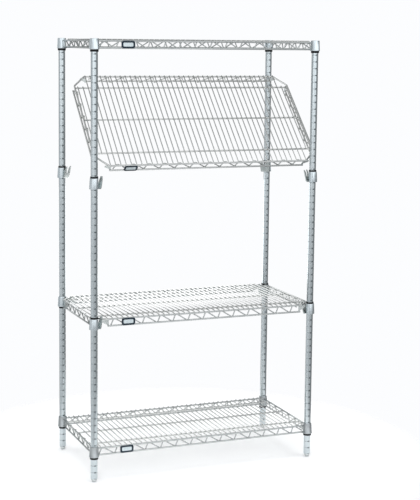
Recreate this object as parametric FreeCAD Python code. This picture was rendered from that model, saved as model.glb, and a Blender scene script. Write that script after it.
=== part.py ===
import FreeCAD, Part
import math
import os

V = FreeCAD.Vector
os.makedirs("parts", exist_ok=True)

# ---------------------------------------------------------------------------
# Driving dimensions (mm). Origin: floor, centre of the footprint. +Z up,
# front is -Y, left is -X.
# ---------------------------------------------------------------------------
POST_SPAN_X = 870.0        # post centre to post centre, along the shelf
POST_SPAN_Y = 414.0        # post centre to post centre, front to back
POST_R = 12.7              # one-inch tube
POST_WALL = 1.25
POST_Z0 = 12.0             # lower end of the post
POST_Z1 = 1613.0           # upper end of the post
GROOVE_PITCH = 25.4        # ring groove every inch
GROOVE_DEPTH = 0.7
GROOVE_WIDTH = 2.6
GROOVE_FLAT = 1.2

CAP_TOP = 1616.2           # top of the post cap

FOOT_PAD_R = 7.8
FOOT_NUT_R = 10.8
FOOT_STEM_R = 4.0
FOOT_STEM_TOP = 50.0
INSERT_R = 11.3
INSERT_BORE_R = 4.15
INSERT_H = 30.0

RAIL_R = 3.175             # quarter-inch edge rods
SUPPORT_R = 3.0            # lengthwise support wires under the deck
DECK_R = 2.0               # deck wires
TRUSS_R = 2.25             # zigzag wire between the edge rods
RAIL_GAP = 25.0            # upper to lower edge rod, centre to centre
DECK_PITCH = 20.0
WAVE_PITCH = 60.0
WAVE_LONG = 0.80           # share of the wave taken by the long leg
WAVE_BEND = 4.5            # bend radius of the zigzag wire
WELD = 0.02                # space left between welded round wires

# fixed shelves
COLLAR_H = 39.0
COLLAR_R_BOT = 18.25
COLLAR_R_TOP = 15.75
COLLAR_BOT_TOP_SHELF = 1577.0
COLLAR_BOT_BOTTOM_SHELF = 94.0
FIXED_RAIL_Z = 30.4        # upper edge rod above the collar's lower end
FIXED_SUPPORT_Y = 150.0

# split sleeves
SLEEVE_IN_R = 12.85
SLEEVE_RING_R = 14.5
SLEEVE_RING_H = 6.0         # ring that stands clear of a bracket
SLEEVE_RING_FIXED = 8.0     # and of a fixed shelf's collar
SLEEVE_RING_R_FIXED = 15.3
SLEEVE_LEN = 42.0
SLEEVE_SPLIT_DEG = 5.0

# clamp brackets for the drop-in shelves
BRACKET_H = 39.5
BRACKET_R_BOT = 15.75
BACK_R_BOT = 18.2
BACK_R_TOP = 16.1
BACK_DEG = 67.5             # half the arc of the thicker back
NOTCH_H = 9.0               # notch in the collar's upper edge
NOTCH_DEG = 28.0            # half its arc
SLOT_Z, SLOT_BOT, SLOT_TOP = 19.0, 6.0, 11.0   # slot in the tongue: floor height, half widths
BRACKET_R_TOP = 14.75
BRACKET_BORE_R = 13.8
BRACKET_MIDDLE_Z = 569.3   # lower end of the middle brackets
BRACKET_UPPER_Z = 1080.5   # lower end of the upper brackets
TONGUE_W = 40.0
TONGUE_T = 3.0
TONGUE_TIP = 45.5          # tongue tip above the bracket's lower end
SEAT_ABOVE = 37.5          # seated corner bar above the bracket's lower end
LIFTED_COLLAR = 6.0        # rear-left middle bracket collar sits higher

# drop-in shelves
SHELF_L = 880.0            # edge rod centre to centre, left to right
SHELF_D = 440.0            # edge rod centre to centre, front to back
CHAMFER = 47.0             # cut-away at each corner
CORNER_BEND = 9.0
LOWER_SHORT = 5.0          # lower front and rear rods end short of the corner
SUPPORT_B = 161.0          # outer support wires from the shelf's centre line
PLATE_T = 2.0
PLATE_H = 25.0
PLATE_IN = 11.0            # end plates: run inboard of the corner
PLATE_OUT_LONG = 15.0      # and outboard of it, on the front and rear
PLATE_OUT_SIDE = 2.0       # and on the sides
EAR_H = 8.0                # height of the plate's outer edge

# the upper shelf as held: turned about its front support wire, then raised
TILT_DEG = 44.6
LIFT_Z = 85.5
LIFT_X = 16.0

LABEL_W, LABEL_H, LABEL_T = 52.0, 27.0, 1.6
LABEL_X = -309.5

HX, HY = POST_SPAN_X / 2.0, POST_SPAN_Y / 2.0
CORNERS = {"front_left": (-HX, -HY), "front_right": (HX, -HY),
           "rear_left": (-HX, HY), "rear_right": (HX, HY)}


# ---------------------------------------------------------------------------
# helpers
# ---------------------------------------------------------------------------
def save(name, shapes):
    if not isinstance(shapes, (list, tuple)):
        shapes = [shapes]
    solids = []
    for s in shapes:
        solids.extend(s.Solids)
    for s in solids:
        if not s.isValid() or s.Volume <= 0:
            print("PROBLEM", name, s.isValid(), s.Volume)
    out = solids[0] if len(solids) == 1 else Part.makeCompound(solids)
    out.exportStep("parts/%s.step" % name)
    print("%-34s %3d solids  %10.0f mm3" % (name, len(solids), sum(s.Volume for s in solids)))


def rod(p0, p1, r):
    d = p1.sub(p0)
    return Part.makeCylinder(r, d.Length, p0, d)


def lathe(pts, angle=360.0, start=0.0):
    """Solid of revolution about Z from (r, z) points."""
    wire = Part.makePolygon([V(r, 0, z) for r, z in pts] + [V(pts[0][0], 0, pts[0][1])])
    face = Part.Face(wire)
    s = face.revolve(V(0, 0, 0), V(0, 0, 1), angle)
    if s.Volume < 0:
        s.reverse()
    if start:
        s.rotate(V(0, 0, 0), V(0, 0, 1), start)
    return s


def bent_path(pts, bend):
    """Wire of straight runs joined by tangent arcs."""
    edges = []
    last = pts[0]
    for i in range(1, len(pts) - 1):
        a, b, c = pts[i - 1], pts[i], pts[i + 1]
        u = a.sub(b).normalize()
        w = c.sub(b).normalize()
        ang = u.getAngle(w)
        t = bend / math.tan(ang / 2.0)
        p1 = b.add(V(u).multiply(t))
        p2 = b.add(V(w).multiply(t))
        m = V(u).add(w).normalize()
        mid = b.add(m.multiply(bend / math.sin(ang / 2.0) - bend))
        edges.append(Part.LineSegment(last, p1).toShape())
        edges.append(Part.Arc(p1, mid, p2).toShape())
        last = p2
    edges.append(Part.LineSegment(last, pts[-1]).toShape())
    return Part.Wire(edges)


def bent_rod(pts, bend, r):
    path = bent_path(pts, bend)
    d = pts[1].sub(pts[0])
    ring = Part.Wire(Part.makeCircle(r, pts[0], d))
    s = path.makePipeShell([ring], True, False)
    if s.ShapeType != "Solid":
        s = Part.makeSolid(s)
    if s.Volume < 0:
        s.reverse()
    want = math.pi * r * r * path.Length
    if abs(s.Volume - want) > 0.01 * want:
        print("PROBLEM pipe volume", s.Volume, want)
    return s


def turned(shape, deg):
    s = shape.copy()
    s.rotate(V(0, 0, 0), V(0, 0, 1), deg)
    return s


def moved(shape, x, y, z):
    s = shape.copy()
    s.translate(V(x, y, z))
    return s


def placed(shape, placement):
    s = shape.copy()
    s.Placement = placement.multiply(s.Placement)
    return s


def zigzag(x0, x1, z_top, z_bot, y):
    """Saw-tooth wire between two edge rods, in a plane of constant y."""
    over = 2.2
    pts = []
    x = x0
    pts.append(V(x, y, z_bot + 2.0))
    x += (1.0 - WAVE_LONG) * WAVE_PITCH
    top = True
    while x < x1 - 6.0:
        pts.append(V(x, y, (z_top + over) if top else (z_bot - over)))
        x += WAVE_PITCH * (WAVE_LONG if top else 1.0 - WAVE_LONG)
        top = not top
    a, b = pts[-1], V(x, y, (z_top + over) if top else (z_bot - over))
    t = (x1 - a.x) / (b.x - a.x)
    t = min(max(t, 0.35), 0.92)
    pts.append(V(a.x + t * (b.x - a.x), y, a.z + t * (b.z - a.z)))
    return bent_rod(pts, WAVE_BEND, TRUSS_R)


def truss(half_top, half_bot, half_wave, off, z_top):
    """Edge rods and zigzag of one side, seen with its outside towards -Y."""
    z_bot = z_top - RAIL_GAP
    inner = -off + RAIL_R + TRUSS_R + WELD
    return [rod(V(-half_top, -off, z_top), V(half_top, -off, z_top), RAIL_R),
            rod(V(-half_bot, -off, z_bot), V(half_bot, -off, z_bot), RAIL_R),
            zigzag(-half_wave, half_wave, z_top, z_bot, inner)]


def label_plate(off, z_mid):
    """Blank badge plate with rounded corners in front of the front truss."""
    w, h, r = LABEL_W / 2.0, LABEL_H / 2.0, 8.0
    y = -off - RAIL_R - WELD - LABEL_T
    box = Part.makeBox(LABEL_W, LABEL_T, LABEL_H, V(LABEL_X - w, y, z_mid - h))
    edges = [e for e in box.Edges if abs(e.Vertexes[0].Point.y - e.Vertexes[1].Point.y) > 1.0]
    plate = box.makeFillet(r, edges)
    rim = [e for e in plate.Edges if abs(e.CenterOfMass.y - y) < 1e-4]
    return plate.makeChamfer(0.5, rim)


def sleeve_halves(z0, ring_at_top, groove_z, ring=SLEEVE_RING_H, ring_r=SLEEVE_RING_R):
    """Two half shells that clip on the post, with a rib in its groove."""
    z1 = z0 + SLEEVE_LEN
    g = groove_z
    inner = [(SLEEVE_IN_R, z0), (SLEEVE_IN_R, g - 0.7), (SLEEVE_IN_R - 0.55, g - 0.4),
             (SLEEVE_IN_R - 0.55, g + 0.4), (SLEEVE_IN_R, g + 0.7), (SLEEVE_IN_R, z1)]
    if ring_at_top:
        outer = [(ring_r - 0.4, z1), (ring_r, z1 - 0.6),
                 (ring_r, z1 - ring + 0.15), (13.65, z1 - ring + 0.15),
                 (13.6, z0)]
    else:
        outer = [(13.95, z1), (14.3, z0 + ring - 0.15),
                 (ring_r, z0 + ring - 0.15), (ring_r, z0 + 0.6),
                 (ring_r - 0.4, z0)]
    pts = inner + outer
    a = 180.0 - SLEEVE_SPLIT_DEG
    return [lathe(pts, a, SLEEVE_SPLIT_DEG / 2.0), lathe(pts, a, 180.0 + SLEEVE_SPLIT_DEG / 2.0)]


def groove_near(z_lo, z_hi):
    mid = (z_lo + z_hi) / 2.0
    n = round((mid - POST_Z0) / GROOVE_PITCH)
    return POST_Z0 + n * GROOVE_PITCH


def corner_turn(name):
    """Angle of the inward diagonal at a post."""
    return {"front_left": 45.0, "front_right": 135.0,
            "rear_left": -45.0, "rear_right": -135.0}[name]


# ---------------------------------------------------------------------------
# posts, caps, feet
# ---------------------------------------------------------------------------
prof = [(POST_R - 1.0, POST_Z0), (POST_R, POST_Z0 + 1.0)]
n = 1
while POST_Z0 + n * GROOVE_PITCH < POST_Z1 - 8.0:
    g = POST_Z0 + n * GROOVE_PITCH
    prof += [(POST_R, g - GROOVE_WIDTH / 2), (POST_R - GROOVE_DEPTH, g - GROOVE_FLAT / 2),
             (POST_R - GROOVE_DEPTH, g + GROOVE_FLAT / 2), (POST_R, g + GROOVE_WIDTH / 2)]
    n += 1
prof += [(POST_R, POST_Z1), (POST_R - POST_WALL, POST_Z1), (POST_R - POST_WALL, POST_Z0)]
post = lathe(prof)

cap = lathe([(0, POST_Z1 - 12.0), (POST_R - POST_WALL - 0.9, POST_Z1 - 12.0),
             (POST_R - POST_WALL - 0.2, POST_Z1 - 10.5), (POST_R - POST_WALL - 0.2, POST_Z1 + WELD),
             (POST_R, POST_Z1 + WELD), (POST_R, CAP_TOP - 1.4), (POST_R - 0.5, CAP_TOP - 0.6),
             (POST_R - 2.2, CAP_TOP - 0.1), (0, CAP_TOP)])
insert = lathe([(INSERT_BORE_R, POST_Z0), (INSERT_R, POST_Z0), (INSERT_R, POST_Z0 + INSERT_H),
                (INSERT_BORE_R, POST_Z0 + INSERT_H)])
foot = lathe([(0, 0), (FOOT_PAD_R - 0.8, 0), (FOOT_PAD_R, 0.8), (FOOT_PAD_R, 4.6),
              (FOOT_NUT_R, 7.6), (FOOT_NUT_R, POST_Z0 - 0.4), (FOOT_STEM_R, POST_Z0 - 0.4),
              (FOOT_STEM_R, FOOT_STEM_TOP - 1.0), (FOOT_STEM_R - 1.0, FOOT_STEM_TOP), (0, FOOT_STEM_TOP)])
for name, (x, y) in CORNERS.items():
    save("post_" + name, moved(post, x, y, 0))
    save("foot_" + name, moved(foot, x, y, 0))
save("post_caps", [moved(cap, x, y, 0) for x, y in CORNERS.values()])
save("foot_inserts", [moved(insert, x, y, 0) for x, y in CORNERS.values()])


# ---------------------------------------------------------------------------
# fixed shelves (top and bottom)
# ---------------------------------------------------------------------------
def fixed_shelf(prefix, zc):
    collar = lathe([(14.5, zc), (COLLAR_R_BOT, zc), (COLLAR_R_BOT, zc + 2.5),
                    (COLLAR_R_TOP + 0.3, zc + COLLAR_H - 2.5), (COLLAR_R_TOP + 0.3, zc + COLLAR_H - 0.8),
                    (COLLAR_R_TOP - 0.4, zc + COLLAR_H), (14.1, zc + COLLAR_H)])
    save(prefix + "_collars", [moved(collar, x, y, 0) for x, y in CORNERS.values()])
    z0 = zc - SLEEVE_RING_FIXED
    halves = sleeve_halves(z0, False, groove_near(z0, z0 + SLEEVE_LEN), SLEEVE_RING_FIXED, SLEEVE_RING_R_FIXED)
    for side in ("left", "right"):
        save("%s_%s_sleeves" % (prefix, side), [moved(turned(h, corner_turn(k) + 90.0), x, y, 0)
                                                for k, (x, y) in CORNERS.items() if k.endswith(side)
                                                for h in halves])
    zr = zc + FIXED_RAIL_Z
    ends_top, ends_bot = 15.6, 17.2
    front = truss(HX - ends_top, HX - ends_bot, HX - 21.0, HY, zr)
    side = truss(HY - ends_top, HY - ends_bot, HY - 27.0, HX, zr)
    save(prefix + "_front_truss", front)
    save(prefix + "_rear_truss", [turned(s, 180.0) for s in front])
    save(prefix + "_right_truss", [turned(s, 90.0) for s in side])
    save(prefix + "_left_truss", [turned(s, -90.0) for s in side])
    zs = zr + RAIL_R - SUPPORT_R
    ex = HX - RAIL_R - WELD
    save(prefix + "_support_wires", [rod(V(-ex, y, zs), V(ex, y, zs), SUPPORT_R)
                                     for y in (-FIXED_SUPPORT_Y, 0.0, FIXED_SUPPORT_Y)])
    zd = zr + RAIL_R + DECK_R + WELD
    wires = []
    x = DECK_PITCH / 2.0
    while x < HX - 18.0:
        for sx in (-x, x):
            wires.append(rod(V(sx, -HY - 1.5, zd), V(sx, HY + 1.5, zd), DECK_R))
        x += DECK_PITCH
    save(prefix + "_deck_wires", wires)
    save(prefix + "_label_plate", label_plate(HY, zr - RAIL_GAP / 2.0))


fixed_shelf("top_shelf", COLLAR_BOT_TOP_SHELF)
fixed_shelf("bottom_shelf", COLLAR_BOT_BOTTOM_SHELF)


# ---------------------------------------------------------------------------
# clamp brackets: collar with an upturned tongue on the inward diagonal (+X
# before turning); the shelf's corner bar drops between collar and tongue
# ---------------------------------------------------------------------------
OFF_X = (SHELF_L - POST_SPAN_X) / 2.0
OFF_Y = (SHELF_D - POST_SPAN_Y) / 2.0
BAR_U = (CHAMFER - OFF_X - OFF_Y) / math.sqrt(2.0)     # corner bar from the post axis


def bracket(raise_collar=0.0):
    c0, c1 = raise_collar, BRACKET_H + raise_collar
    ring = lathe([(0, c0), (BRACKET_R_BOT, c0), (BRACKET_R_BOT, c0 + 1.5),
                  (BRACKET_R_TOP, c1 - 1.0), (BRACKET_R_TOP - 0.4, c1), (0, c1)])
    # notch beside the seated bar, where the sleeve shows
    ring = ring.cut(lathe([(0, c1 - NOTCH_H), (16.9, c1 - NOTCH_H), (16.9, c1 + 2.0), (0, c1 + 2.0)],
                          2.0 * NOTCH_DEG, -NOTCH_DEG))
    # thicker back, on the side away from the shelf
    ring = ring.fuse(lathe([(0, c0), (BACK_R_BOT, c0), (BACK_R_BOT, c0 + 1.5), (BACK_R_TOP, c1 - 1.0),
                            (BACK_R_TOP - 0.4, c1), (0, c1)], 2.0 * BACK_DEG, 180.0 - BACK_DEG))
    gap = BAR_U + RAIL_R + 0.19          # the seated bar rests on this sloped face
    face = [(17.2, 6.0), (gap, SEAT_ABOVE - 1.0), (gap + 4.2, TONGUE_TIP)]
    back = [(gap + 4.2 + 2.4, TONGUE_TIP - 1.6), (gap + TONGUE_T, SEAT_ABOVE - 2.4), (20.6, 4.0), (17.5, 0.0)]
    pts = [(8.0, 0.0), (8.0, 6.0)] + face + back
    w = TONGUE_W / 2.0
    poly = Part.makePolygon([V(u, -w, z) for u, z in pts] + [V(pts[0][0], -w, pts[0][1])])
    tongue = Part.Face(poly).extrude(V(0, TONGUE_W, 0))
    # tongue narrows towards its root
    trap = [(-18.0, -1.0), (18.0, -1.0), (w, 12.0), (w, TONGUE_TIP - 4.0), (w - 4.0, TONGUE_TIP + 0.5),
            (-w + 4.0, TONGUE_TIP + 0.5), (-w, TONGUE_TIP - 4.0), (-w, 12.0)]
    pl = Part.makePolygon([V(0, v, z) for v, z in trap] + [V(0, trap[0][0], trap[0][1])])
    tongue = tongue.common(Part.Face(pl).extrude(V(60, 0, 0)))
    # slot from the top edge, which leaves a horn on either side
    slot = [(-SLOT_BOT, SLOT_Z), (SLOT_BOT, SLOT_Z), (SLOT_TOP, TONGUE_TIP + 1.0), (-SLOT_TOP, TONGUE_TIP + 1.0)]
    pl = Part.makePolygon([V(0, v, z) for v, z in slot] + [V(0, slot[0][0], slot[0][1])])
    tongue = tongue.cut(Part.Face(pl).extrude(V(60, 0, 0)))
    body = ring.fuse(tongue)
    body = body.cut(Part.makeCylinder(BRACKET_BORE_R, 80.0, V(0, 0, -10.0)))
    body = body.removeSplitter()
    return body.Solids[0]


BR = bracket()
BR_UP = bracket(LIFTED_COLLAR)


def bracket_set(name, sleeve, z0, odd=None):
    sol = []
    for k, (x, y) in CORNERS.items():
        b = BR_UP if k == odd else BR
        sol.append(moved(turned(b, corner_turn(k)), x, y, z0))
        z1 = z0 + BRACKET_H + SLEEVE_RING_H
        if k == odd:
            z1 = z0 + BRACKET_H + LIFTED_COLLAR - 1.0
        s0 = z1 - SLEEVE_LEN
        if k == odd:
            s0 -= 3.0
        halves = sleeve_halves(s0, k != odd, groove_near(s0, s0 + SLEEVE_LEN))
        if k == odd:
            halves = [placed(h, FreeCAD.Placement()) for h in sleeve_plain(s0)]
        save("%s_%s" % (sleeve, k), [moved(turned(h, corner_turn(k) + 90.0), x, y, 0) for h in halves])
    save(name, sol)


def sleeve_plain(z0):
    """Sleeve pushed low in its collar: its ring shows under the collar."""
    z1 = z0 + SLEEVE_LEN
    g = groove_near(z0, z1)
    pts = [(SLEEVE_IN_R, z0), (SLEEVE_IN_R, g - 0.7), (SLEEVE_IN_R - 0.55, g - 0.4),
           (SLEEVE_IN_R - 0.55, g + 0.4), (SLEEVE_IN_R, g + 0.7), (SLEEVE_IN_R, z1),
           (13.6, z1), (13.65, z0)]
    a = 180.0 - SLEEVE_SPLIT_DEG
    return [lathe(pts, a, SLEEVE_SPLIT_DEG / 2.0), lathe(pts, a, 180.0 + SLEEVE_SPLIT_DEG / 2.0)]


bracket_set("middle_brackets", "middle_sleeve", BRACKET_MIDDLE_Z, "rear_left")
bracket_set("upper_brackets", "upper_sleeve", BRACKET_UPPER_Z)


# ---------------------------------------------------------------------------
# drop-in shelves, built about their own centre with the upper edge rods at z=0
# ---------------------------------------------------------------------------
HL, HD = SHELF_L / 2.0, SHELF_D / 2.0
TAN = CORNER_BEND * math.tan(math.radians(22.5))


def end_plate(out):
    """Gusset plate behind the end of a truss; outside towards -Y, end at x=0."""
    zt = -RAIL_R - 0.3
    zb = zt - PLATE_H
    p = [V(PLATE_IN, 0, zt), V(-out, 0, zt), V(-out, 0, zt - EAR_H), V(3.5, 0, zt - 17.5),
         V(PLATE_IN - 2.5, 0, zb), V(PLATE_IN, 0, zb)]
    w = Part.makePolygon(p + [p[0]])
    s = Part.Face(w).extrude(V(0, PLATE_T, 0))
    e = [x for x in s.Edges if abs(x.Vertexes[0].Point.y - x.Vertexes[1].Point.y) > 1.0
         and x.Vertexes[0].Point.x < PLATE_IN - 1.0]
    return s.makeFillet(3.0, e)


def drop_in_shelf():
    parts = {}
    hx, hy = HL - CHAMFER, HD - CHAMFER
    lead = TAN + 1.0                       # straight lead of a corner bar
    front = truss(hx - lead, hx - LOWER_SHORT, hx - 14.0 - LOWER_SHORT, HD, 0.0)
    side = truss(hy - lead, hy, hy - 14.0 - LOWER_SHORT, HL, 0.0)
    parts["front_truss"] = front
    parts["rear_truss"] = [turned(s, 180.0) for s in front]
    parts["right_truss"] = [turned(s, 90.0) for s in side]
    parts["left_truss"] = [turned(s, -90.0) for s in side]
    e = lead - WELD
    bar = bent_rod([V(hx - e, -HD, 0), V(hx, -HD, 0), V(HL, -hy, 0), V(HL, -hy + e, 0)], CORNER_BEND, RAIL_R)
    bar2 = bent_rod([V(hx - e, HD, 0), V(hx, HD, 0), V(HL, hy, 0), V(HL, hy - e, 0)], CORNER_BEND, RAIL_R)
    parts["corner_bars"] = [bar, bar2, turned(bar, 180.0), turned(bar2, 180.0)]
    inner = RAIL_R + WELD
    plates = []
    for deg, half, off, out in ((0.0, hx, HD, PLATE_OUT_LONG), (180.0, hx, HD, PLATE_OUT_LONG),
                                (90.0, hy, HL, PLATE_OUT_SIDE), (-90.0, hy, HL, PLATE_OUT_SIDE)):
        pl = end_plate(out)                     # left end of a truss
        pr = pl.mirror(V(0, 0, 0), V(1, 0, 0))  # right end
        plates.append(turned(moved(pl, -half, -off + inner, 0), deg))
        plates.append(turned(moved(pr, half, -off + inner, 0), deg))
    parts["corner_plates"] = plates
    zs = RAIL_R - SUPPORT_R
    ex = HL - RAIL_R - WELD
    parts["front_support_wire"] = [rod(V(-ex, -SUPPORT_B, zs), V(ex, -SUPPORT_B, zs), SUPPORT_R)]
    parts["support_wires"] = [rod(V(-ex, y, zs), V(ex, y, zs), SUPPORT_R) for y in (0.0, SUPPORT_B)]
    zd = RAIL_R + DECK_R + WELD
    wires = []
    x = DECK_PITCH / 2.0
    while x < HL - 6.0:
        end = HD + 1.5 if x < hx - 2.0 else SUPPORT_B + 4.0
        for sx in (-x, x):
            wires.append(rod(V(sx, -end, zd), V(sx, end, zd), DECK_R))
        x += DECK_PITCH
    parts["deck_wires"] = wires
    parts["label_plate"] = [label_plate(HD, -RAIL_GAP / 2.0)]
    return parts


shelf = drop_in_shelf()
seat_mid = FreeCAD.Placement(V(0, 0, BRACKET_MIDDLE_Z + SEAT_ABOVE), FreeCAD.Rotation())
for k, sol in shelf.items():
    if k == "front_support_wire":
        continue
    extra = shelf["front_support_wire"] if k == "support_wires" else []
    save("middle_shelf_" + k, [placed(s, seat_mid) for s in sol + extra])

# held pose: seated, then turned about the front support wire, then raised
seat_z = BRACKET_UPPER_Z + SEAT_ABOVE
axis_p = V(0, -SUPPORT_B, seat_z + RAIL_R - SUPPORT_R)
seat_up = FreeCAD.Placement(V(0, 0, seat_z), FreeCAD.Rotation())
turn = FreeCAD.Placement(V(0, 0, 0), FreeCAD.Rotation(V(1, 0, 0), TILT_DEG), axis_p)
lift = FreeCAD.Placement(V(LIFT_X, 0, LIFT_Z), FreeCAD.Rotation())
held = lift.multiply(turn).multiply(seat_up)
for k, sol in shelf.items():
    save("upper_shelf_" + k, [placed(s, held) for s in sol])
print("upper shelf tilt axis at", axis_p.add(V(LIFT_X, 0, LIFT_Z)), "bar from post axis", BAR_U)
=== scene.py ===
import math

import bpy
from mathutils import Matrix, Vector


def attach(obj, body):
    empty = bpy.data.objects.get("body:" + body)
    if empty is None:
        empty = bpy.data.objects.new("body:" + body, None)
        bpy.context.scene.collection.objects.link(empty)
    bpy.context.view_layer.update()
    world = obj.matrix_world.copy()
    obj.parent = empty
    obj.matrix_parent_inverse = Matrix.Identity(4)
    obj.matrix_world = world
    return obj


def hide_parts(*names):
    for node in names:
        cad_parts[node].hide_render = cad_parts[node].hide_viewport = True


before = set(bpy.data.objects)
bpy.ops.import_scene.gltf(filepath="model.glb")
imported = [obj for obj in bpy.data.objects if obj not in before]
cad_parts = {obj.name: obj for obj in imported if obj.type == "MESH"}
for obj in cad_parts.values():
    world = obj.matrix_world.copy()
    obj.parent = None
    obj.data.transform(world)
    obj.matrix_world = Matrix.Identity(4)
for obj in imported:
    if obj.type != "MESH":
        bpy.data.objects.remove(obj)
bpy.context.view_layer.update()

MM = 0.001

# ---------------------------------------------------------------------------
# sizes, in millimetres, as in the solid model
# ---------------------------------------------------------------------------
HX, HY = 435.0, 207.0
POST_R, POST_Z0, POST_Z1 = 12.7, 12.0, 1613.0
PITCH = 25.4
RAIL_R, SUPPORT_R, DECK_R, TRUSS_R = 3.175, 3.0, 2.0, 2.25
RAIL_GAP, WELD = 25.0, 0.02
WAVE, WAVE_LONG, WAVE_BEND = 60.0, 0.80, 4.5
COLLAR_TOP, COLLAR_BOTTOM, COLLAR_H = 1577.0, 94.0, 39.0
BR_MIDDLE, BR_UPPER, BR_H, SEAT = 569.3, 1080.5, 39.5, 37.5
HL, HD, CHAMFER, BEND = 440.0, 220.0, 47.0, 9.0
SUPPORT_B = 161.0
LOWER_SHORT = 5.0
SLOT_Z = 19.0
PLATE_IN, EAR_H = 11.0, 8.0
TILT, LIFT_Z, LIFT_X = 44.6, 85.5, 16.0
LABEL_W, LABEL_H, LABEL_T, LABEL_X = 52.0, 27.0, 1.6, -309.5
CORNERS = {"front_left": (-HX, -HY, 45.0), "front_right": (HX, -HY, 135.0),
           "rear_left": (-HX, HY, -45.0), "rear_right": (HX, HY, -135.0)}


# ---------------------------------------------------------------------------
# mesh making
# ---------------------------------------------------------------------------
class Build:
    def __init__(self):
        self.v, self.f, self.m = [], [], []

    def ring_strip(self, rings, closed_loop=True, mat=0):
        """Faces between rings of equal length; each ring is a list of points."""
        n = len(rings[0])
        base = len(self.v)
        for r in rings:
            self.v.extend(r)
        for i in range(len(rings) - 1):
            for j in range(n if closed_loop else n - 1):
                a = base + i * n + j
                b = base + i * n + (j + 1) % n
                self.f.append((a, b, b + n, a + n))
                self.m.append(mat)
        return base

    def fan(self, idx, mat=0):
        self.f.append(tuple(idx))
        self.m.append(mat)

    def tube(self, pts, r, n=14, mat=0, soft=True):
        """Round wire along points, with rounded ends, or square ends where it runs on into another."""
        pts = [Vector(p) for p in pts]
        d0 = (pts[1] - pts[0]).normalized()
        d1 = (pts[-1] - pts[-2]).normalized()
        e = min(0.55 * r, 1.4)
        if soft:
            path = [(pts[0], r - e, d0), (pts[0] + d0 * e * 0.35, r - e * 0.3, d0), (pts[0] + d0 * e, r, d0)]
        else:
            path = [(pts[0], r, d0)]
        for i in range(1, len(pts) - 1):
            a = (pts[i] - pts[i - 1]).normalized()
            b = (pts[i + 1] - pts[i]).normalized()
            path.append((pts[i], r, (a + b).normalized()))
        if soft:
            path += [(pts[-1] - d1 * e, r, d1), (pts[-1] - d1 * e * 0.35, r - e * 0.3, d1), (pts[-1], r - e, d1)]
        else:
            path.append((pts[-1], r, d1))
        ref = Vector((0, 0, 1)) if abs(d0.z) < 0.9 else Vector((0, 1, 0))
        side = d0.cross(ref).normalized()
        rings = []
        for p, rad, d in path:
            side = (side - d * side.dot(d)).normalized()
            up = d.cross(side)
            rings.append([p + side * (rad * math.cos(2 * math.pi * k / n)) + up * (rad * math.sin(2 * math.pi * k / n))
                          for k in range(n)])
        base = self.ring_strip(rings, True, mat)
        self.fan([base + k for k in range(n)][::-1], mat)
        last = base + (len(rings) - 1) * n
        self.fan([last + k for k in range(n)], mat)

    def bead(self, p, rx, ry, rz, n=8, mat=0):
        """Small weld bead."""
        rings = []
        for k in range(5):
            t = math.pi * k / 4.0
            rings.append([Vector((p[0] + rx * math.sin(t) * math.cos(2 * math.pi * j / n),
                                  p[1] + ry * math.sin(t) * math.sin(2 * math.pi * j / n),
                                  p[2] + rz * math.cos(t))) for j in range(n)])
        self.ring_strip(rings, True, mat)

    def lathe(self, prof, cx, cy, n=48, a0=0.0, a1=360.0, closed=True, mat=0):
        """Turned shape about a vertical axis from (r, z) points. closed joins the profile's ends."""
        full = abs(a1 - a0 - 360.0) < 1e-6
        steps = n if full else n + 1
        pr = list(prof) + ([prof[0]] if closed else [])
        rings = []
        for r, z in pr:
            ring = []
            for k in range(steps):
                a = math.radians(a0 + (a1 - a0) * k / n)
                ring.append(Vector((cx + r * math.cos(a), cy + r * math.sin(a), z)))
            rings.append(ring)
        base = self.ring_strip(rings, full, mat)
        if not full and closed:
            self.fan([base + i * steps for i in range(len(prof))], mat)
            self.fan([base + i * steps + steps - 1 for i in range(len(prof))][::-1], mat)

    def prism(self, pts, y0, y1, mat=0):
        """Outline in x, z pushed along y; y0 and y1 may be functions of the point."""
        g0 = y0 if callable(y0) else (lambda p: y0)
        g1 = y1 if callable(y1) else (lambda p: y1)
        n = len(pts)
        base = len(self.v)
        self.v.extend(Vector((p[0], g0(p), p[1])) for p in pts)
        self.v.extend(Vector((p[0], g1(p), p[1])) for p in pts)
        self.fan([base + k for k in range(n)], mat)
        self.fan([base + n + k for k in range(n)][::-1], mat)
        for k in range(n):
            j = (k + 1) % n
            self.fan([base + k, base + n + k, base + n + j, base + j], mat)

    def slotted(self, rise, horn, fall, half, slot, mat, shaded_mat, side):
        """Plate outline in x, z (rise, horn, fall) with a slot that parts its upper end into two horns."""
        loop = rise[:-1] + horn + fall[1:]

        def put(points, g):
            base = len(self.v)
            self.v.extend(Vector((p[0], g(p), p[1])) for p in points)
            return {p: base + k for k, p in enumerate(points)}
        lo, hi = put(loop, lambda p: -half(p)), put(loop, half)
        a, c = put(horn, lambda p: -slot(p)), put(horn, slot)
        self.fan([lo[p] for p in loop], side)
        self.fan([hi[p] for p in loop][::-1], side)
        self.fan([a[p] for p in horn][::-1], side)
        self.fan([c[p] for p in horn], side)
        for k, p in enumerate(loop):
            q = loop[(k + 1) % len(loop)]
            # edge faces where the outline runs downward take the darker copy: painted shade
            m = shaded_mat if q[1] < p[1] else mat
            if p in a and q in a:
                self.fan([lo[p], a[p], a[q], lo[q]], m)
                self.fan([c[p], hi[p], hi[q], c[q]], m)
            else:
                start = [a[p], c[p]] if p in a else []
                end = [c[q], a[q]] if q in a else []
                self.fan([lo[p]] + start + [hi[p], hi[q]] + end + [lo[q]], m)
        self.fan([a[horn[0]], c[horn[0]], c[horn[-1]], a[horn[-1]]], side)

    def turn(self, start, deg, cx=0.0, cy=0.0, cz=0.0):
        """Turn the points from index start about Z, then shift them."""
        m = Matrix.Translation((cx, cy, cz)) @ Matrix.Rotation(math.radians(deg), 4, "Z")
        for i in range(start, len(self.v)):
            self.v[i] = m @ self.v[i]

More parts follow.
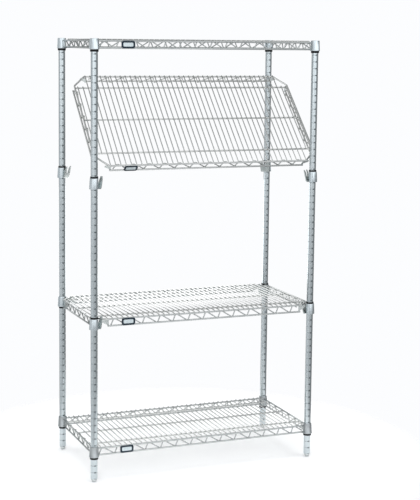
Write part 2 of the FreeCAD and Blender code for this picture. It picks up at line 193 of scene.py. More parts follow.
    def object(self, name, mats, body, node, slot, place=None, bevel=0.0, sharp=38.0):
        me = bpy.data.meshes.new(name)
        pts = [(place @ p if place else p) * MM for p in self.v]
        me.from_pydata([tuple(p) for p in pts], [], self.f)
        me.validate()
        for m in mats:
            me.materials.append(m)
        me.polygons.foreach_set("material_index", self.m[:len(me.polygons)])
        ob = bpy.data.objects.new(name, me)
        bpy.context.scene.collection.objects.link(ob)
        import bmesh
        bm = bmesh.new()
        bm.from_mesh(me)
        bmesh.ops.remove_doubles(bm, verts=bm.verts, dist=1e-7)
        bmesh.ops.recalc_face_normals(bm, faces=bm.faces)
        bm.to_mesh(me)
        bm.free()
        me.polygons.foreach_set("use_smooth", [True] * len(me.polygons))
        me.set_sharp_from_angle(angle=math.radians(sharp))
        if bevel:
            b = ob.modifiers.new("edge", "BEVEL")
            b.width = bevel * MM
            b.segments = 2
            b.limit_method = "ANGLE"
            b.angle_limit = math.radians(35)
            b.harden_normals = True
        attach(ob, body)
        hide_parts(*([node] if isinstance(node, str) else node))
        return ob


def bent(pts, bend, steps=6):
    """Points of straight runs joined by arcs."""
    pts = [Vector(p) for p in pts]
    out = [pts[0]]
    for i in range(1, len(pts) - 1):
        a, b, c = pts[i - 1], pts[i], pts[i + 1]
        u, w = (a - b).normalized(), (c - b).normalized()
        ang = u.angle(w)
        t = bend / math.tan(ang / 2)
        m = (u + w).normalized()
        centre = b + m * (bend / math.sin(ang / 2))
        p1, p2 = b + u * t - centre, b + w * t - centre
        total = math.pi - ang
        axis = p1.cross(p2).normalized()
        for k in range(steps + 1):
            out.append(centre + Matrix.Rotation(total * k / steps, 3, axis) @ p1)
    out.append(pts[-1])
    return out


def zigzag(x0, x1, zt, zb, y):
    over = 2.2
    x = x0
    pts = [Vector((x, y, zb + 2.0))]
    x += (1 - WAVE_LONG) * WAVE
    top = True
    while x < x1 - 6.0:
        pts.append(Vector((x, y, zt + over if top else zb - over)))
        x += WAVE * (WAVE_LONG if top else 1 - WAVE_LONG)
        top = not top
    a, b = pts[-1], Vector((x, y, zt + over if top else zb - over))
    t = min(max((x1 - a.x) / (b.x - a.x), 0.35), 0.92)
    pts.append(a + (b - a) * t)
    return bent(pts, WAVE_BEND, 5)


# ---------------------------------------------------------------------------
# materials
# ---------------------------------------------------------------------------
def nodes_of(name):
    m = bpy.data.materials.new(name)
    m.use_nodes = True
    nt = m.node_tree
    return m, nt, nt.nodes["Principled BSDF"]


def add(nt, kind, **props):
    n = nt.nodes.new(kind)
    for k, v in props.items():
        setattr(n, k, v)
    return n


def noise(nt, coord, scale, detail, stretch=(1, 1, 1), rough=0.55):
    mp = add(nt, "ShaderNodeMapping")
    mp.inputs["Scale"].default_value = stretch
    nt.links.new(coord, mp.inputs["Vector"])
    n = add(nt, "ShaderNodeTexNoise")
    n.inputs["Scale"].default_value = scale
    n.inputs["Detail"].default_value = detail
    n.inputs["Roughness"].default_value = rough
    nt.links.new(mp.outputs["Vector"], n.inputs["Vector"])
    return n.outputs["Fac"]


def ramp(nt, fac, stops):
    r = add(nt, "ShaderNodeValToRGB")
    while len(r.color_ramp.elements) < len(stops):
        r.color_ramp.elements.new(0.5)
    for e, (p, c) in zip(r.color_ramp.elements, stops):
        e.position = p
        e.color = (*c, 1.0)
    nt.links.new(fac, r.inputs["Fac"])
    return r.outputs["Color"]


def mapped(nt, fac, a, b, lo, hi):
    n = add(nt, "ShaderNodeMapRange")
    n.inputs["From Min"].default_value = a
    n.inputs["From Max"].default_value = b
    n.inputs["To Min"].default_value = lo
    n.inputs["To Max"].default_value = hi
    nt.links.new(fac, n.inputs["Value"])
    return n.outputs["Result"]


def mix(nt, fac, a, b, kind="MIX"):
    n = add(nt, "ShaderNodeMix", data_type="RGBA", blend_type=kind)
    if isinstance(fac, float):
        n.inputs[0].default_value = fac
    else:
        nt.links.new(fac, n.inputs[0])
    for i, c in ((6, a), (7, b)):
        if isinstance(c, tuple):
            n.inputs[i].default_value = (*c, 1.0)
        else:
            nt.links.new(c, n.inputs[i])
    return n.outputs[2]


def metal(name, lo, hi, r_lo, r_hi, scale, stretch, bump, metallic=1.0, edge=0.0, grooves=False):
    m, nt, p = nodes_of(name)
    co = add(nt, "ShaderNodeTexCoord").outputs["Object"]
    tone = noise(nt, co, scale, 6.0, stretch)
    fine = noise(nt, co, scale * 9.0, 4.0, stretch)
    col = ramp(nt, tone, [(0.30, lo), (0.70, hi)])
    spots = ramp(nt, fine, [(0.36, (0.86, 0.87, 0.88)), (0.58, (1.0, 1.0, 1.0))])
    col = mix(nt, 0.6, col, spots, "MULTIPLY")
    if edge:
        geo = add(nt, "ShaderNodeNewGeometry").outputs["Pointiness"]
        worn = mapped(nt, geo, 0.52, 0.62, 0.0, edge)
        col = mix(nt, worn, col, (0.86, 0.88, 0.89))
    if grooves:
        sep = add(nt, "ShaderNodeSeparateXYZ")
        nt.links.new(co, sep.inputs[0])
        off = add(nt, "ShaderNodeMath", operation="SUBTRACT")
        nt.links.new(sep.outputs["Z"], off.inputs[0])
        off.inputs[1].default_value = (POST_Z0 - PITCH / 2) * MM
        mod = add(nt, "ShaderNodeMath", operation="FLOORED_MODULO")
        nt.links.new(off.outputs[0], mod.inputs[0])
        mod.inputs[1].default_value = PITCH * MM
        dist = add(nt, "ShaderNodeMath", operation="SUBTRACT")
        nt.links.new(mod.outputs[0], dist.inputs[0])
        dist.inputs[1].default_value = PITCH / 2 * MM
        absd = add(nt, "ShaderNodeMath", operation="ABSOLUTE")
        nt.links.new(dist.outputs[0], absd.inputs[0])
        # dark line along the bottom of every groove, all round the post: painted shade in the groove
        groove_shade = mapped(nt, absd.outputs[0], 0.0008, 0.0022, 0.14, 0.0)
        col = mix(nt, groove_shade, col, (0.20, 0.225, 0.24))
        # painted shade: a short dark tick at every groove, on the front of the post only, standing in for the groove's
        # dark reflection
        def from_axis(axis, at):
            sign = add(nt, "ShaderNodeMath", operation="SIGN")
            nt.links.new(sep.outputs[axis], sign.inputs[0])
            away = add(nt, "ShaderNodeMath", operation="MULTIPLY_ADD")
            nt.links.new(sign.outputs[0], away.inputs[0])
            away.inputs[1].default_value = -at * MM
            nt.links.new(sep.outputs[axis], away.inputs[2])
            return away.outputs[0]
        across = add(nt, "ShaderNodeMath", operation="ABSOLUTE")
        nt.links.new(from_axis("X", HX), across.inputs[0])
        near = add(nt, "ShaderNodeMath", operation="MULTIPLY")
        nt.links.new(mapped(nt, across.outputs[0], 0.0024, 0.0042, 1.0, 0.0), near.inputs[0])
        nt.links.new(mapped(nt, from_axis("Y", HY), -0.006, -0.008, 0.0, 1.0), near.inputs[1])
        groove_shade_tick = add(nt, "ShaderNodeMath", operation="MULTIPLY")
        nt.links.new(near.outputs[0], groove_shade_tick.inputs[0])
        nt.links.new(mapped(nt, absd.outputs[0], 0.0022, 0.0034, 0.78, 0.0), groove_shade_tick.inputs[1])
        col = mix(nt, groove_shade_tick.outputs[0], col, (0.10, 0.115, 0.125))
    nt.links.new(col, p.inputs["Base Color"])
    nt.links.new(mapped(nt, tone, 0.3, 0.7, r_lo, r_hi), p.inputs["Roughness"])
    p.inputs["Metallic"].default_value = metallic
    bm = add(nt, "ShaderNodeBump")
    bm.inputs["Strength"].default_value = bump
    bm.inputs["Distance"].default_value = 0.0003
    nt.links.new(fine, bm.inputs["Height"])
    nt.links.new(bm.outputs["Normal"], p.inputs["Normal"])
    return m


def plastic(name, lo, hi, r_lo, r_hi, scale, bump, coat=0.0, gloss=0.5):
    m, nt, p = nodes_of(name)
    co = add(nt, "ShaderNodeTexCoord").outputs["Object"]
    tone = noise(nt, co, scale, 5.0)
    fine = noise(nt, co, scale * 12.0, 3.0)
    nt.links.new(ramp(nt, tone, [(0.32, lo), (0.68, hi)]), p.inputs["Base Color"])
    nt.links.new(mapped(nt, fine, 0.3, 0.7, r_lo, r_hi), p.inputs["Roughness"])
    p.inputs["Coat Weight"].default_value = coat
    p.inputs["Specular IOR Level"].default_value = gloss
    bm = add(nt, "ShaderNodeBump")
    bm.inputs["Strength"].default_value = bump
    bm.inputs["Distance"].default_value = 0.0002
    nt.links.new(fine, bm.inputs["Height"])
    nt.links.new(bm.outputs["Normal"], p.inputs["Normal"])
    return m


POST_MAT = metal("post_plated", (0.525, 0.578, 0.60), (0.605, 0.658, 0.68), 0.17, 0.27, 22.0, (1, 1, 0.12), 0.10, grooves=True)
WIRE_MAT = metal("wire_plated", (0.57, 0.58, 0.57), (0.67, 0.68, 0.665), 0.12, 0.22, 60.0, (1, 1, 1), 0.08)
# darker copy of the wire plating, on the fixed shelves' side trusses and the middle shelf's rear truss: painted shade
SIDE_WIRE_SHADE_MAT = metal("wire_plated_side_painted_shade", (0.43, 0.455, 0.45), (0.53, 0.555, 0.545), 0.12, 0.22, 60.0, (1, 1, 1), 0.08)
COLLAR_MAT = metal("collar_cast", (0.55, 0.61, 0.64), (0.64, 0.70, 0.73), 0.26, 0.40, 55.0, (1, 1, 0.5), 0.22, edge=0.35)
FIXED_MAT = metal("fixed_collar_cast", (0.55, 0.61, 0.64), (0.64, 0.70, 0.73), 0.18, 0.30, 55.0, (1, 1, 0.5), 0.22, edge=0.35)
# darker copy of the wire plating, on the fixed shelves' front and rear trusses and the middle shelf's other trusses:
# painted shade
TRUSS_WIRE_SHADE_MAT = metal("wire_plated_edge_painted_shade", (0.44, 0.46, 0.458), (0.53, 0.55, 0.545), 0.12, 0.22, 60.0, (1, 1, 1), 0.08)
# darker copy of the wire plating, on the lifted shelf's front truss: painted shade
HELD_WIRE_SHADE_MAT = metal("wire_plated_front_painted_shade", (0.50, 0.515, 0.51), (0.60, 0.61, 0.605), 0.12, 0.22, 60.0, (1, 1, 1), 0.08)
# bottom collars: the same casting as the top collars, made darker: painted shade
LOW_COLLAR_SHADE_MAT = metal("low_collar_painted_shade", (0.35, 0.372, 0.382), (0.44, 0.464, 0.475), 0.30, 0.44, 55.0, (1, 1, 0.5), 0.22, edge=0.45)
TONGUE_MAT = metal("hook_plate", (0.49, 0.535, 0.525), (0.61, 0.655, 0.64), 0.30, 0.44, 70.0, (1, 1, 0.6), 0.20, edge=0.3)
# darker copy of the hook plate colour, on the tongue's faces turned away from the post: painted shade
HOOK_SHADE_MAT = metal("hook_painted_shade", (0.38, 0.42, 0.415), (0.48, 0.52, 0.51), 0.32, 0.46, 70.0, (1, 1, 0.6), 0.24, edge=0.3)
# darkest copy of the hook plate colour, on the tongue's flat sides: painted shade of the tongue under the shelf
TONGUE_SIDE_SHADE_MAT = metal("corner_plate", (0.31, 0.35, 0.345), (0.41, 0.45, 0.44), 0.28, 0.42, 80.0, (1, 1, 1), 0.15, edge=0.3)
CORNER_MAT = metal("shelf_corner_plate", (0.62, 0.66, 0.65), (0.74, 0.78, 0.77), 0.28, 0.42, 80.0, (1, 1, 1), 0.15, edge=0.3)
FOOT_MAT = metal("foot_plated", (0.52, 0.55, 0.55), (0.64, 0.67, 0.67), 0.28, 0.44, 90.0, (1, 1, 1), 0.2, edge=0.3)
BLACK = plastic("sleeve_black", (0.004, 0.004, 0.005), (0.010, 0.011, 0.012), 0.50, 0.66, 70.0, 0.15, gloss=0.2)
CAP_MAT = plastic("cap_grey", (0.36, 0.39, 0.41), (0.46, 0.49, 0.51), 0.45, 0.60, 60.0, 0.15)
LABEL_RIM = plastic("label_rim_navy", (0.006, 0.014, 0.024), (0.013, 0.026, 0.040), 0.42, 0.58, 60.0, 0.08, gloss=0.25)
LABEL_FACE = plastic("label_blank", (0.44, 0.51, 0.54), (0.56, 0.62, 0.64), 0.34, 0.50, 90.0, 0.06, 0.1)


# ---------------------------------------------------------------------------
# posts, caps, feet
# ---------------------------------------------------------------------------
for key, (x, y, deg) in CORNERS.items():
    prof = [(POST_R - 1.25, POST_Z0), (POST_R - 1.0, POST_Z0), (POST_R - 0.3, POST_Z0 + 0.3), (POST_R, POST_Z0 + 1.0)]
    k = 1
    while POST_Z0 + k * PITCH < POST_Z1 - 8.0:
        g = POST_Z0 + k * PITCH
        prof += [(POST_R, g - 1.3), (POST_R - 0.2, g - 1.05), (POST_R - 0.7, g - 0.6), (POST_R - 0.7, g + 0.6),
                 (POST_R - 0.2, g + 1.05), (POST_R, g + 1.3)]
        k += 1
    prof += [(POST_R, POST_Z1), (POST_R - 1.25, POST_Z1)]
    b = Build()
    b.lathe(prof, x, y, 40)
    b.object("v_post_" + key, [POST_MAT], "frame", "post_" + key, "post_metal", sharp=20.0)

    foot = [(0.0, 0.0), (6.6, 0.0), (7.3, 0.2), (7.8, 0.9), (7.8, 4.4), (8.2, 5.0), (10.3, 7.1), (10.8, 7.7),
            (10.8, 11.0), (10.4, 11.6), (4.0, 11.6)]
    z = 12.5
    while z < 48.0:
        foot += [(4.0, z), (3.55, z + 0.6)]
        z += 1.25
    foot += [(4.0, 48.9), (3.0, 50.0), (0.0, 50.0)]
    b = Build()
    b.lathe(foot, x, y, 32, closed=False)
    b.object("v_foot_" + key, [FOOT_MAT], "foot_%s_body" % key, "foot_" + key, "foot_metal", sharp=35.0)

b, c = Build(), Build()
for x, y, deg in CORNERS.values():
    b.lathe([(0.0, 1601.0), (10.5, 1601.0), (11.2, 1602.5), (11.2, 1613.02), (12.6, 1613.02), (12.7, 1613.2),
             (12.7, 1614.7), (12.45, 1615.3), (11.8, 1615.8), (10.4, 1616.05), (6.0, 1616.18), (0.0, 1616.2)], x, y, 40, closed=False)
    c.lathe([(4.15, 12.0), (11.1, 12.0), (11.3, 12.3), (11.3, 42.0), (4.15, 42.0)], x, y, 32)
b.object("v_post_caps", [CAP_MAT], "frame", "post_caps", "cap_plastic")
c.object("v_foot_inserts", [FOOT_MAT], "frame", "foot_inserts", "foot_metal")


# ---------------------------------------------------------------------------
# label plate: dark moulded rim with a blank face let into it
# ---------------------------------------------------------------------------
def round_rect(w, h, r, n=7):
    pts = []
    for cx, cz, a0 in ((w - r, h - r, 0), (-w + r, h - r, 90), (-w + r, -h + r, 180), (w - r, -h + r, 270)):
        for k in range(n + 1):
            a = math.radians(a0 + 90.0 * k / n)
            pts.append((cx + r * math.cos(a), cz + r * math.sin(a)))
    return pts


def label(name, body, node, off, z_mid, place=None):
    b = Build()
    y_back = -off - RAIL_R - WELD
    y_front = y_back - LABEL_T
    rings = []
    for w, h, r, y in ((26.0, 13.5, 8.0, y_back), (26.0, 13.5, 8.0, y_front + 0.5), (25.5, 13.0, 7.5, y_front),
                       (19.2, 7.4, 4.4, y_front), (18.8, 7.0, 4.0, y_front + 0.45)):
        rings.append([Vector((LABEL_X + px, y, z_mid + pz)) for px, pz in round_rect(w, h, r)])
    n = len(rings[0])
    base = b.ring_strip(rings, True, 0)
    b.fan([base + k for k in range(n)], 0)
    b.fan([base + (len(rings) - 1) * n + k for k in range(n)][::-1], 1)
    return b.object(name, [LABEL_RIM, LABEL_FACE], body, node, "label_plate", place, sharp=30.0)


# ---------------------------------------------------------------------------
# sleeves
# ---------------------------------------------------------------------------
def sleeve(b, x, y, deg, z0, style):
    z1 = z0 + 42.0
    ins = [(12.85, z0), (12.85, z1)]
    if style == "ring_top":
        out = [(14.1, z1), (14.35, z1 - 0.15), (14.5, z1 - 0.6), (14.5, z1 - 5.85), (13.65, z1 - 5.85), (13.6, z0)]
    elif style == "ring_bottom":
        out = [(13.95, z1), (14.3, z0 + 7.85), (15.3, z0 + 7.85), (15.3, z0 + 0.6), (15.15, z0 + 0.15), (14.9, z0)]
    else:
        out = [(13.6, z1), (13.65, z0)]
    for a in (2.5, 182.5):
        b.lathe(ins + out, x, y, 28, deg + 90.0 + a, deg + 90.0 + a + 175.0)


# ---------------------------------------------------------------------------
# trusses and shelves
# ---------------------------------------------------------------------------
SIDES = (("front", 0.0), ("rear", 180.0), ("right", 90.0), ("left", -90.0))


def truss(b, half_top, half_bot, half_wave, off, zt, soft=True):
    zb = zt - RAIL_GAP
    y = -off + RAIL_R + TRUSS_R + WELD
    b.tube([(-half_top, -off, zt), (half_top, -off, zt)], RAIL_R, 16, 0, soft)
    b.tube([(-half_bot, -off, zb), (half_bot, -off, zb)], RAIL_R, 16)
    wave = zigzag(-half_wave, half_wave, zt, zb, y)
    b.tube(wave, TRUSS_R, 12)
    for i in range(1, len(wave) - 1):
        p = wave[i]
        if abs(p.z - zt) < 2.2 or abs(p.z - zb) < 2.2:
            if p.z >= max(wave[i - 1].z, wave[i + 1].z) or p.z <= min(wave[i - 1].z, wave[i + 1].z):
                b.bead((p.x, -off + RAIL_R + 0.1, zt if p.z > (zt + zb) / 2 else zb), 3.6, 1.1, 1.5)


def deck(b, x_max, ends, supports, zr, half):
    """Deck wires across the shelf, welded to the support wires and the edge rods."""
    x, zd = 10.0, zr + RAIL_R + DECK_R + WELD
    while x < x_max:
        end = ends(x)
        for sx in (-x, x):
            b.tube([(sx, -end, zd), (sx, end, zd)], DECK_R, 12)
            for y in supports:
                b.bead((sx, y, zr + RAIL_R + 0.1), 2.1, 1.9, 0.8)
            if end > half:
                for y in (-half, half):
                    b.bead((sx, y, zr + RAIL_R + 0.1), 2.1, 1.9, 0.8)
        x += 20.0


def fixed_shelf(pre, zc, collar):
    b = Build()
    for x, y, deg in CORNERS.values():
        b.lathe([(14.5, zc), (17.6, zc), (18.1, zc + 0.3), (18.25, zc + 0.8), (18.25, zc + 2.4), (18.0, zc + 3.0),
                 (17.75, zc + 3.4), (16.15, zc + 36.0), (16.05, zc + 37.2), (16.0, zc + 38.2), (15.7, zc + 38.8),
                 (15.3, zc + 39.0), (14.1, zc + 39.0)], x, y, 48)
    b.object("v_%s_collars" % pre, [collar], "frame", pre + "_collars", "collar_metal")
    for side in ("left", "right"):
        b = Build()
        for key, (x, y, deg) in CORNERS.items():
            if key.endswith(side):
                sleeve(b, x, y, deg, zc - 8.0, "ring_bottom")
        b.object("v_%s_%s_sleeves" % (pre, side), [BLACK], "frame", "%s_%s_sleeves" % (pre, side), "black_plastic")
    zr = zc + 30.4
    for side, deg in SIDES:
        b = Build()
        a, off = (HX, HY) if side in ("front", "rear") else (HY, HX)
        truss(b, a - 15.6, a - 17.2, a - (21.0 if side in ("front", "rear") else 27.0), off, zr)
        b.turn(0, deg)
        b.object("v_%s_%s_truss" % (pre, side), [SIDE_WIRE_SHADE_MAT if deg in (90.0, -90.0) else TRUSS_WIRE_SHADE_MAT], "frame", "%s_%s_truss" % (pre, side), "wire_metal")
    b = Build()
    for y in (-150.0, 0.0, 150.0):
        b.tube([(-HX + 3.2, y, zr + 0.175), (HX - 3.2, y, zr + 0.175)], SUPPORT_R, 14)
    b.object("v_%s_support_wires" % pre, [WIRE_MAT], "frame", pre + "_support_wires", "wire_metal")
    b = Build()
    deck(b, HX - 18.0, lambda x: HY + 1.5, (-150.0, 0.0, 150.0), zr, HY)
    b.object("v_%s_deck_wires" % pre, [WIRE_MAT], "frame", pre + "_deck_wires", "wire_metal")
    label("v_%s_label_plate" % pre, "frame", pre + "_label_plate", HY, zr - 12.5)


fixed_shelf("top_shelf", COLLAR_TOP, FIXED_MAT)
fixed_shelf("bottom_shelf", COLLAR_BOTTOM, LOW_COLLAR_SHADE_MAT)


# brackets
BAR_U = (CHAMFER - (HL - HX) - (HD - HY)) / math.sqrt(2.0)


def bracket(b, x, y, deg, z0, up=0.0):
    start = len(b.v)
    c0, c1 = up, BR_H + up
    zn = c1 - 9.0
    b.lathe([(13.8, c0), (15.3, c0), (15.7, c0 + 0.4), (15.75, c0 + 1.5), (15.0, zn - 0.3), (14.7, zn), (13.8, zn)], 0, 0, 44)
    b.lathe([(13.85, zn - 2.0), (14.9, zn - 2.0), (14.98, zn), (14.8, c1 - 1.4), (14.65, c1 - 0.5), (14.3, c1), (13.8, c1)],
            0, 0, 38, 28.0, 332.0)
    b.lathe([(13.95, c0 + 0.04), (17.7, c0 + 0.04), (18.05, c0 + 0.35), (18.2, c0 + 1.5), (16.2, c1 - 1.3), (16.0, c1 - 0.5),
             (15.6, c1 - 0.04), (13.95, c1 - 0.04)], 0, 0, 20, 112.5, 247.5)
    gap = BAR_U + RAIL_R + 0.19
    inner = (17.2 + (gap - 17.2) * (SLOT_Z - 6.0) / (SEAT - 7.0), SLOT_Z)
    outer = (20.6 + (gap - 17.6) * (SLOT_Z - 4.0) / (SEAT - 6.4), SLOT_Z)

    def half(p):
        z = p[1]
        if z <= 12.0:
            return 18.0 + 2.0 * (z + 1.0) / 13.0
        return 20.0 if z < 41.5 else 20.0 - (z - 41.5) / 4.5 * 4.0
    # rising edge faces take hook_plate (1), falling edge faces the darker painted-shade copy (2), the flat sides the
    # darkest painted-shade copy (3)
    b.slotted([(14.2, 0.0), (14.2, 6.0), (17.2, 6.0), inner],
              [inner, (gap, SEAT - 1.0), (gap + 4.2, 45.5), (gap + 6.6, 43.9), (gap + 3.0, SEAT - 2.4), outer],
              [outer, (20.6, 4.0), (17.5, 0.0)], half, lambda p: 6.0 + 5.0 * (p[1] - SLOT_Z) / 27.5, 1, 2, 3)
    b.turn(start, deg, x, y, z0)


def bracket_set(pre, z0, odd=None):
    b = Build()
    for key, (x, y, deg) in CORNERS.items():
        bracket(b, x, y, deg, z0, 6.0 if key == odd else 0.0)
        s = Build()
        if key == odd:
            sleeve(s, x, y, deg, z0 + BR_H + 6.0 - 1.0 - 42.0 - 3.0, "plain")
        else:
            sleeve(s, x, y, deg, z0 + BR_H + 6.0 - 42.0, "ring_top")
        s.object("v_%s_sleeve_%s" % (pre, key), [BLACK], "frame", "%s_sleeve_%s" % (pre, key), "black_plastic")
    b.object("v_%s_brackets" % pre, [COLLAR_MAT, TONGUE_MAT, HOOK_SHADE_MAT, TONGUE_SIDE_SHADE_MAT], "frame", pre + "_brackets", "collar_metal", bevel=0.5)


bracket_set("middle", BR_MIDDLE, "rear_left")
bracket_set("upper", BR_UPPER)


# drop-in shelves
def end_plate(b, out, half, off, deg, mirror):
    start = len(b.v)
    zt, zb = -RAIL_R - 0.3, -RAIL_R - 25.3
    pts = bent([(PLATE_IN, 0, zt), (-out, 0, zt), (-out, 0, zt - EAR_H), (3.5, 0, zt - 17.5), (PLATE_IN - 2.5, 0, zb),
                (PLATE_IN, 0, zb)], 3.0, 5)
    sx = -1.0 if mirror else 1.0
    y0 = -off + RAIL_R + WELD
    b.prism([(sx * (p.x - half), p.z) for p in pts], y0, y0 + 2.0)
    b.turn(start, deg)


def drop_shelf(pre, body, place, hinge_body=None):
    hx, hy = HL - CHAMFER, HD - CHAMFER
    tan = BEND * math.tan(math.radians(22.5))
    lead = tan + 1.0
    for side, deg in SIDES:
        b = Build()
        if side in ("front", "rear"):
            truss(b, hx - lead, hx - LOWER_SHORT, hx - 14.0 - LOWER_SHORT, HD, 0.0, False)
        else:
            truss(b, hy - lead, hy, hy - 14.0 - LOWER_SHORT, HL, 0.0, False)
        b.turn(0, deg)
        b.object("v_%s_%s_truss" % (pre, side), [(HELD_WIRE_SHADE_MAT if side == "front" else WIRE_MAT) if hinge_body else SIDE_WIRE_SHADE_MAT if side == "rear" else TRUSS_WIRE_SHADE_MAT], body, "%s_%s_truss" % (pre, side), "wire_metal", place)
    b = Build()
    e = lead - WELD
    for sx in (-1, 1):
        for sy in (-1, 1):
            b.tube(bent([(sx * (hx - e), sy * HD, 0), (sx * hx, sy * HD, 0), (sx * HL, sy * hy, 0),
                         (sx * HL, sy * (hy - e), 0)], BEND, 8), RAIL_R, 16, 0, False)
    b.object("v_%s_corner_bars" % pre, [WIRE_MAT], body, pre + "_corner_bars", "wire_metal", place)
    b = Build()
    for deg, half, off, out in ((0.0, hx, HD, 15.0), (180.0, hx, HD, 15.0), (90.0, hy, HL, 2.0), (-90.0, hy, HL, 2.0)):
        end_plate(b, out, half, off, deg, False)
        end_plate(b, out, half, off, deg, True)
    b.object("v_%s_corner_plates" % pre, [CORNER_MAT], body, pre + "_corner_plates", "wire_metal", place, bevel=0.3)
    ex, zs = HL - RAIL_R - WELD, RAIL_R - SUPPORT_R
    b = Build()
    if hinge_body:
        h = Build()
        h.tube([(-ex, -SUPPORT_B, zs), (ex, -SUPPORT_B, zs)], SUPPORT_R, 14)
        h.object("v_%s_front_support_wire" % pre, [WIRE_MAT], hinge_body, pre + "_front_support_wire", "wire_metal", place)
    for y in ((0.0, SUPPORT_B) if hinge_body else (-SUPPORT_B, 0.0, SUPPORT_B)):
        b.tube([(-ex, y, zs), (ex, y, zs)], SUPPORT_R, 14)
    b.object("v_%s_support_wires" % pre, [WIRE_MAT], body, pre + "_support_wires", "wire_metal", place)
    b = Build()
    deck(b, HL - 6.0, lambda x: HD + 1.5 if x < hx - 2.0 else SUPPORT_B + 4.0, (-SUPPORT_B, 0.0, SUPPORT_B), 0.0, HD)
    b.object("v_%s_deck_wires" % pre, [WIRE_MAT], body, pre + "_deck_wires", "wire_metal", place)
    label("v_%s_label_plate" % pre, body, pre + "_label_plate", HD, -12.5, place)


drop_shelf("middle_shelf", "middle_shelf", Matrix.Translation((0, 0, BR_MIDDLE + SEAT)))
seat_z = BR_UPPER + SEAT
pivot = Vector((0, -SUPPORT_B, seat_z + RAIL_R - SUPPORT_R))
held = (Matrix.Translation((LIFT_X, 0, LIFT_Z)) @ Matrix.Translation(pivot) @ Matrix.Rotation(math.radians(TILT), 4, "X")
        @ Matrix.Translation(-pivot) @ Matrix.Translation((0, 0, seat_z)))
drop_shelf("upper_shelf", "upper_shelf", held, "upper_shelf_carrier")


# ---------------------------------------------------------------------------
# floor, light, camera
# ---------------------------------------------------------------------------
scene = bpy.context.scene
scene.view_settings.view_transform = "Standard"
scene.view_settings.look = "None"

# round floor that fades out at its edge
me = bpy.data.meshes.new("floor")
N, FLOOR_R = 96, 4.2
pts = [(0.0, 0.0, -0.0005)]
faces = []
for i in range(N):
    a = 2 * math.pi * i / N
    pts.append((FLOOR_R * math.cos(a), FLOOR_R * math.sin(a), -0.0005))
    faces.append((0, 1 + i, 1 + (i + 1) % N))
me.from_pydata(pts, [], faces)
floor = bpy.data.objects.new("floor", me)
scene.collection.objects.link(floor)
fm, nt, p = nodes_of("floor_pale")
co = add(nt, "ShaderNodeTexCoord").outputs["Object"]
nt.links.new(ramp(nt, noise(nt, co, 1.5, 3.0), [(0.3, (0.90, 0.905, 0.91)), (0.7, (0.93, 0.932, 0.935))]), p.inputs["Base Color"])
p.inputs["Roughness"].default_value = 0.6
p.inputs["Specular IOR Level"].default_value = 0.1
dist = add(nt, "ShaderNodeVectorMath", operation="LENGTH")
nt.links.new(co, dist.inputs[0])
nt.links.new(mapped(nt, dist.outputs["Value"], 0.74, 0.98, 1.0, 0.0), p.inputs["Alpha"])
me.materials.append(fm)

# studio: white behind the object, bright in front, darker to the right
world = bpy.data.worlds.new("studio")
scene.world = world
world.use_nodes = True
nt = world.node_tree
bg = nt.nodes["Background"]
co = add(nt, "ShaderNodeTexCoord").outputs["Generated"]


def facing(vec):
    n = add(nt, "ShaderNodeVectorMath", operation="DOT_PRODUCT")
    nt.links.new(co, n.inputs[0])
    n.inputs[1].default_value = vec
    return n.outputs["Value"]


side = mapped(nt, facing((0.9235, -0.3837, 0.0)), -1.0, 1.0, 0.0, 1.0)
height = facing((0.0, 0.0, 1.0))


def tones(values):
    return ramp(nt, side, [(q, (v * 0.985, v, v * 1.015)) for q, v in values])


level = tones([(0.0, 0.60), (0.08, 0.75), (0.20, 2.10), (0.32, 1.90), (0.50, 1.10), (0.66, 1.90), (0.78, 1.90), (0.88, 0.90), (1.0, 0.40)])
below = tones([(0.0, 0.82), (0.23, 0.74), (0.50, 0.53), (0.77, 0.62), (1.0, 0.33)])
low = tones([(0.0, 0.78), (0.10, 0.70), (0.22, 0.42), (0.52, 0.38), (0.70, 0.38), (0.82, 0.26), (1.0, 0.18)])
band = tones([(0.0, 0.75), (0.14, 1.05), (0.52, 1.05), (0.70, 0.60), (0.82, 0.26), (1.0, 0.18)])
high = tones([(0.0, 0.46), (0.20, 0.35), (0.55, 0.35), (0.70, 0.34), (0.82, 0.26), (1.0, 0.18)])
upper = tones([(0.0, 0.70), (0.30, 1.10), (0.55, 1.75), (0.92, 1.75), (1.0, 1.20)])
behind = mix(nt, mapped(nt, height, -0.02, 0.08, 0.0, 1.0), low, band)
behind = mix(nt, mapped(nt, height, 0.19, 0.28, 0.0, 1.0), behind, high)
sky = mix(nt, mapped(nt, height, -0.045, -0.095, 0.0, 1.0), level, below)
sky = mix(nt, mapped(nt, height, 0.08, 0.22, 0.0, 1.0), sky, upper)
sky = mix(nt, mapped(nt, height, 0.55, 0.82, 0.0, 1.0), sky, (0.60, 0.61, 0.62))
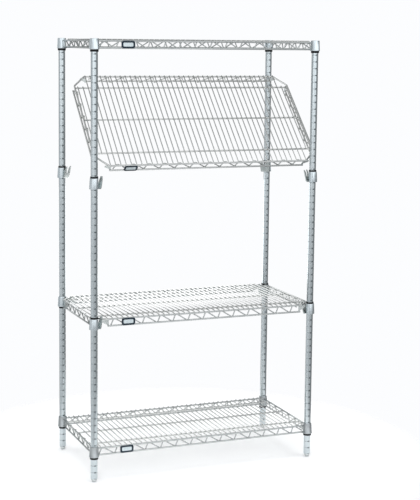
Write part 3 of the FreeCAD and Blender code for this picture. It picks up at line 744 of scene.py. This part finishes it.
sky = mix(nt, mapped(nt, facing((0.3837, 0.9235, 0.0)), 0.0, 0.45, 0.0, 1.0), sky, behind)
path = add(nt, "ShaderNodeLightPath").outputs["Is Camera Ray"]
nt.links.new(mix(nt, path, sky, (0.974, 0.982, 0.996)), bg.inputs["Color"])
bg.inputs["Strength"].default_value = 1.0


def area(name, loc, target, size, power, colour=(1, 1, 1), card=False):
    li = bpy.data.lights.new(name, "AREA")
    li.shape = "RECTANGLE"
    li.size, li.size_y = size
    li.energy = power
    li.color = colour
    ob = bpy.data.objects.new(name, li)
    ob.location = loc
    ob.rotation_euler = (Vector(target) - Vector(loc)).to_track_quat("-Z", "Y").to_euler()
    ob.visible_glossy = card
    ob.visible_diffuse = not card
    ob.visible_camera = False
    scene.collection.objects.link(ob)


area("key", (-2.6, -4.4, 3.4), (0, 0, 0.8), (2.2, 2.2), 45)
area("back_card", (-0.05, 0.52, 0.76), (-0.05, -1.0, 0.76), (0.90, 0.50), 2.4, card=True)
area("top", (0.0, 0.2, 4.4), (0, 0, 0.0), (5.0, 5.0), 184)

F, POS = 1310.827, Vector((-1.8302, -4.6608, 1.6124))
yaw, pitch, roll = math.radians(21.8678), math.radians(6.9412), math.radians(0.5779)
fw = Vector((math.sin(yaw) * math.cos(pitch), math.cos(yaw) * math.cos(pitch), -math.sin(pitch)))
rt = Vector((math.cos(yaw), -math.sin(yaw), 0.0))
up = rt.cross(fw)
rt2 = rt * math.cos(roll) + up * math.sin(roll)
up2 = up * math.cos(roll) - rt * math.sin(roll)
cam = bpy.data.cameras.new("camera")
cam.sensor_fit = "AUTO"
cam.sensor_width = 36.0
cam.lens = F * 36.0 / 500.0
cam.shift_x = (210.0 - 196.032) / 500.0
cam.shift_y = (199.883 - 250.0) / 500.0
camera = bpy.data.objects.new("camera", cam)
camera.matrix_world = Matrix(((rt2.x, up2.x, -fw.x, POS.x), (rt2.y, up2.y, -fw.y, POS.y),
                              (rt2.z, up2.z, -fw.z, POS.z), (0, 0, 0, 1)))
scene.collection.objects.link(camera)
scene.camera = camera

bpy.context.view_layer.update()
